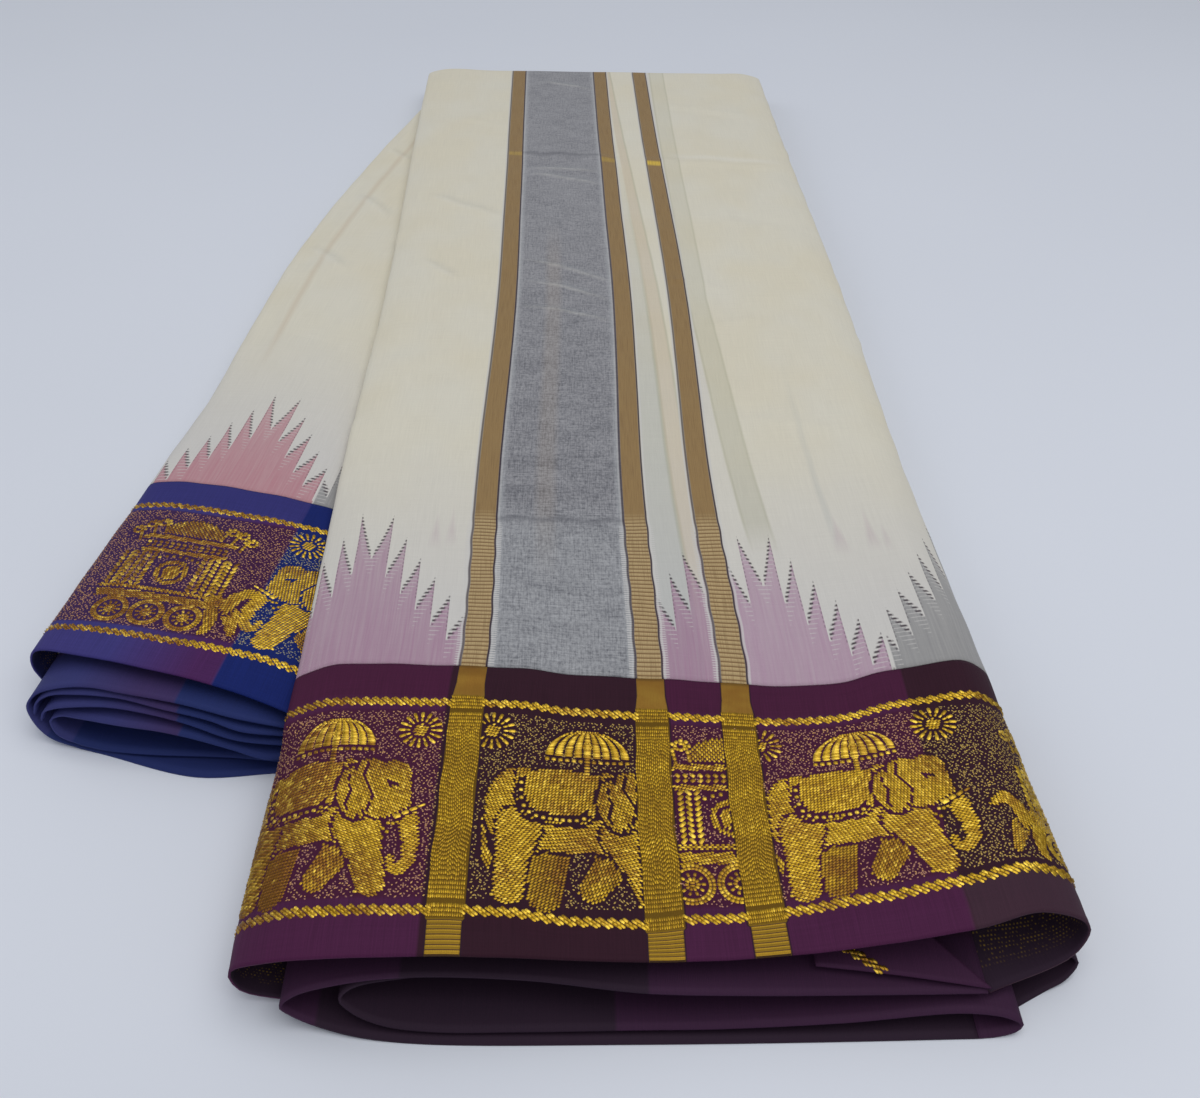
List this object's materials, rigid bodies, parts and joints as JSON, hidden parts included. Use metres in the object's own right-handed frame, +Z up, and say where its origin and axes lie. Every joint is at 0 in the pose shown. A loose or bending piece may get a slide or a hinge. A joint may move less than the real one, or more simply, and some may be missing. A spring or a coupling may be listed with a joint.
{
  "type": "folded dhoti cloth",
  "caption": "Folded cotton dhoti: a long pleated strip turned back over itself, cream with a maroon and a blue zari border.",
  "frame": {"origin": "middle of the folded cloth's footprint, on the flat underside that rests on a table", "axes": "+Z up; +Y along the folded strip, from the two coloured borders to the far turn; +X to the right of someone who faces the borders"},
  "size_m": [0.3373, 0.7224, 0.0308],
  "materials": {
    "cream_cotton": "matt plain-weave unbleached cotton with woven stripes of gold and grey, and stepped temple spikes in mauve",
    "maroon_border": "satin maroon and purple ground with raised gold zari elephants, umbrellas, suns and chariots between two twisted gold lines",
    "blue_border": "satin deep blue and violet ground with raised gold zari chariot, elephant and sun between two twisted gold lines",
    "gold_zari": "metallic gold yarn floats with a soft gloss"
  },
  "bodies": {
    "root": {"border_maroon_top": "maroon_border", "border_maroon_fold_2": "maroon_border", "border_maroon_fold_3": "maroon_border", "border_maroon_fold_4": "maroon_border", "border_maroon_corner": "maroon_border", "body_upper": "cream_cotton", "body_lower": "cream_cotton", "hidden_layers": "cream_cotton", "border_blue_top": "blue_border", "border_blue_fold_2": "blue_border", "border_blue_fold_3": "blue_border", "border_blue_fold_4": "blue_border", "border_blue_fold_5": "blue_border"}
  },
  "joints": []
}
